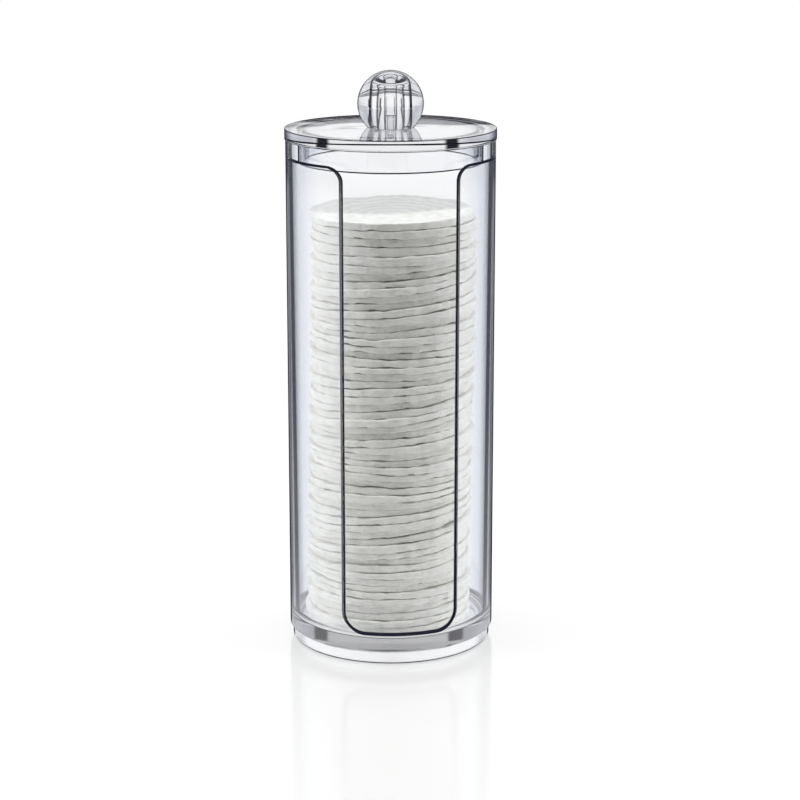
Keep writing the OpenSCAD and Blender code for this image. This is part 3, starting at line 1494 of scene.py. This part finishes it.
@dataclass
class Studio:
    """The white sweep, the soft light and the camera. Millimetres and degrees unless named otherwise."""

    azimuth: float = -5.9
    distance: float = 800.0
    eye_h: float = 288.7
    pitch: float = 13.38
    focal_px: float = 2275.0
    axis_x_px: float = 390.6
    centre_y_px: float = 371.5
    width_px: float = 800.0
    fill: float = 0.70
    card_at: float = 25.3
    card_off: float = 1.9
    card_lean: float = -0.475
    floor_rise: float = 6.6
    strip: Pair = (7.26, 7.10)
    floor_shade: float = 0.46
    floor_ior: float = 1.9
    floor_m: float = 6.0
    floor_low_m: float = -0.00006
    floor_gloss: float = 0.15
    near_m: Pair = (0.42, 0.14)
    far_m: Pair = (0.85, 1.05)
    panel_end_m: Pair = (1.05, 1.2)
    front_m: Pair = (-0.05, -0.30)
    top_watts: float = 7.2
    side_watts: float = 5.5

    def spot(self, azimuth: float, distance: float, height: float) -> Vector:
        """A place round the holder, in metres, with azimuth 0 in front and 90 on its right."""
        return Vector(around(distance, math.radians(azimuth), height)) * MM

    def camera(self) -> None:
        """Sets the camera where the photograph was taken."""
        data = bpy.data.cameras.new("camera")
        data.sensor_width = 36.0
        data.lens = self.focal_px / self.width_px * data.sensor_width
        data.shift_y = (self.centre_y_px - self.width_px / 2) / self.width_px
        data.clip_start, data.clip_end = 0.01, 20.0
        eye = place_object("camera", data)
        eye.location = self.spot(self.azimuth, self.distance, self.eye_h)
        aside = math.degrees(math.atan((self.width_px / 2 - self.axis_x_px) / self.focal_px))
        eye.rotation_euler = (math.radians(90.0 - self.pitch), 0.0, math.radians(self.azimuth - aside))
        bpy.context.scene.camera = eye

    def room(self, graph: Graph, way: Socket, rise: object) -> Sockets:
        """Adds the room's group, set to this camera's side.

        Args:
            graph: The world's or the floor's tree.
            way: The direction, or the place on the floor, that is seen.
            rise: How steeply it is seen, in degrees.

        Returns:
            The group's outputs.
        """
        node = graph.add("ShaderNodeGroup", node_tree=room_group())
        graph.feed(node, Way=way, Rise=rise, Back=math.radians(self.azimuth))
        graph.feed(node, Card=self.card_at, Card_Off=self.card_off, Lean=self.card_lean)
        return node.outputs

    def world(self) -> None:
        """Lights the world: white for the camera, a room for the clear parts, soft light for the rest."""
        world = bpy.data.worlds.new("studio")
        bpy.context.scene.world = world
        world.use_nodes = True
        world.node_tree.nodes.clear()
        graph = Graph(world.node_tree)
        sky = graph.add("ShaderNodeTexCoord").outputs["Generated"]
        height = graph.math("ARCSINE", graph.split(sky)["Z"])
        rise = graph.math("DEGREES", graph.math("ABSOLUTE", height))
        room = self.room(graph, sky, rise)
        # Soft light, with little from behind the camera
        shares = ((0.0, 1.0), (0.52, 1.0), (0.74, 0.16), (1.0, 0.06))
        shed = graph.ramp(room["Off Back"], tuple((at, grey(self.fill * share)) for at, share in shares))
        # Low behind the backdrop the room is dark, and the lid's far rim mirrors this
        strip = graph.times(graph.step(rise, *self.strip), graph.step(room["Off Back"], 0.22, 0.12))
        above = graph.blend(strip, grey(1.02), grey(0.03, 0.01))
        path = graph.add("ShaderNodeLightPath").outputs
        colour = graph.blend(path["Is Glossy Ray"], shed, above)
        colour = graph.blend(path["Is Transmission Ray"], colour, room["Through"])
        colour = graph.blend(path["Is Camera Ray"], colour, Ground.PAPER.value)
        light = graph.fed("ShaderNodeBackground", Color=colour, Strength=1.0)
        graph.feed(graph.add("ShaderNodeOutputWorld"), Surface=light)

    def floor(self) -> None:
        """Lays the glossy white floor, which keeps the holder's shadow and mirrors its foot."""
        material, graph, out = fresh_material("white_sweep")
        path = graph.add("ShaderNodeLightPath").outputs
        spot = graph.add("ShaderNodeTexCoord").outputs["Object"]
        away = graph.length(spot)
        near, far_off = graph.step(away, *self.near_m), graph.step(away, *self.far_m)
        room = self.room(graph, spot, self.floor_rise)
        bent = graph.math("MAXIMUM", path["Is Glossy Ray"], path["Is Transmission Ray"])
        seen = graph.math("MAXIMUM", path["Is Camera Ray"], bent)
        # Little light comes back from the floor in front, as the room behind the camera is dark
        front = graph.times(graph.step(graph.split(spot)["Y"], *self.front_m), path["Is Diffuse Ray"])
        bounce = graph.blend(front, Ground.FLOOR.value, Ground.FRONT.value)
        sheet = graph.fed("ShaderNodeBsdfDiffuse", Color=bounce)
        # The wall mirrors the side panels in the floor, and the lid sees the dark cards far off in it
        mirrored = graph.blend(graph.step(away, *self.panel_end_m), room["Mirrored"], grey(0.15, 0.01))
        through = graph.blend(graph.times(far_off, room["Dark"]), Ground.PAPER.value, Ground.CARD.value)
        shown = graph.blend(path["Is Glossy Ray"], Ground.PAPER.value, mirrored)
        shown = graph.blend(path["Is Transmission Ray"], shown, through)
        paper = graph.fed("ShaderNodeEmission", Color=shown, Strength=1.0)
        # Near the holder the camera sees some of the lit sheet itself, and so the shadow on it
        shaded = graph.times(near, path["Is Camera Ray"])
        ground = graph.mix(graph.times(seen, graph.scaled(shaded, -self.floor_shade, 1.0)), sheet, paper)
        gloss = graph.fed("ShaderNodeBsdfGlossy", Color=(1.0, 1.0, 1.0, 1.0), Roughness=self.floor_gloss)
        mirror = graph.times(graph.fed("ShaderNodeFresnel", IOR=self.floor_ior), near)
        graph.feed(out, Surface=graph.mix(mirror, ground, gloss))
        mesh = bpy.data.meshes.new("sweep")
        size, low = self.floor_m, self.floor_low_m
        corners = [(-size, -size, low), (size, -size, low), (size, size, low), (-size, size, low)]
        mesh.from_pydata(corners, [], [(0, 1, 2, 3)])
        mesh.materials.append(material)
        place_object("sweep", mesh)

    def lamp(self, name: str, place: Vector, size: Pair, watts: float) -> None:
        """Hangs a soft lamp that looks at the middle of the holder.

        Args:
            name: The lamp's name.
            place: Where it hangs, in metres.
            size: Its width and height in metres.
            watts: Its power.
        """
        data = bpy.data.lights.new(name, "AREA")
        data.shape, data.size, data.size_y, data.energy = "RECTANGLE", *size, watts
        hung = place_object(name, data)
        hung.location = place
        hung.rotation_euler = (Vector((0, 0, 0.1)) - place).to_track_quat("-Z", "Y").to_euler()
        hung.visible_camera = hung.visible_glossy = hung.visible_transmission = False

    def build(self) -> None:
        """Sets up camera, world, floor and lamps."""
        self.camera()
        self.world()
        self.floor()
        self.lamp("lamp_top", self.spot(-20, 150, 1100), (1.1, 1.1), self.top_watts)
        self.lamp("lamp_left", self.spot(-96, 900, 350), (0.6, 1.0), self.side_watts)
        self.lamp("lamp_right", self.spot(84, 900, 350), (0.6, 1.0), self.side_watts)
        bpy.context.scene.view_settings.view_transform = "Standard"


def main() -> None:
    """Builds the holder's pieces in order and puts each on its body."""
    logging.basicConfig(level=logging.INFO, format="%(message)s")
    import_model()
    Studio().build()
    # Painted shade and painted reflection on the shell: its plate's level faces, a dark glance line in its
    # wall, and its nearly black cut edge and foot roundings
    shell = Shell().build(
        ClearPlastic("clear_shell", haze=0.015, level_painted_shade=0.2).build(),
        CutEdge("clear_shell_edge").build(),
        CutEdge("clear_foot_edge", clear_share=0.06).build(),
        ClearPlastic("clear_foot").build(),
        ClearPlastic("clear_wall", haze=0.055, painted_glance_line_strength=0.97).build(),
    )
    lid = Lid().build(LID_FINISH.build(), CutEdge("clear_lid_edge", clear_share=0.06).build())
    knob = Knob().build(BALL_FINISH.build(), CORE_FINISH.build())
    stack = PadStack().build(CottonWool().build())
    for piece, body, slot, nodes in (
        (shell, "holder", "clear_shell", ["body_shell"]),
        (stack, "holder", "cotton", [f"pad_{k:02d}" for k in range(1, PadStack.count + 1)]),
        (lid, "lid", "clear_lid", ["lid"]),
        (knob, "lid", "clear_knob", ["knob"]),
    ):
        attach(piece, body)
        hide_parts(*nodes)
        LOG.info("%s rides on %s", piece.name, body)


if __name__ == "__main__":
    main()
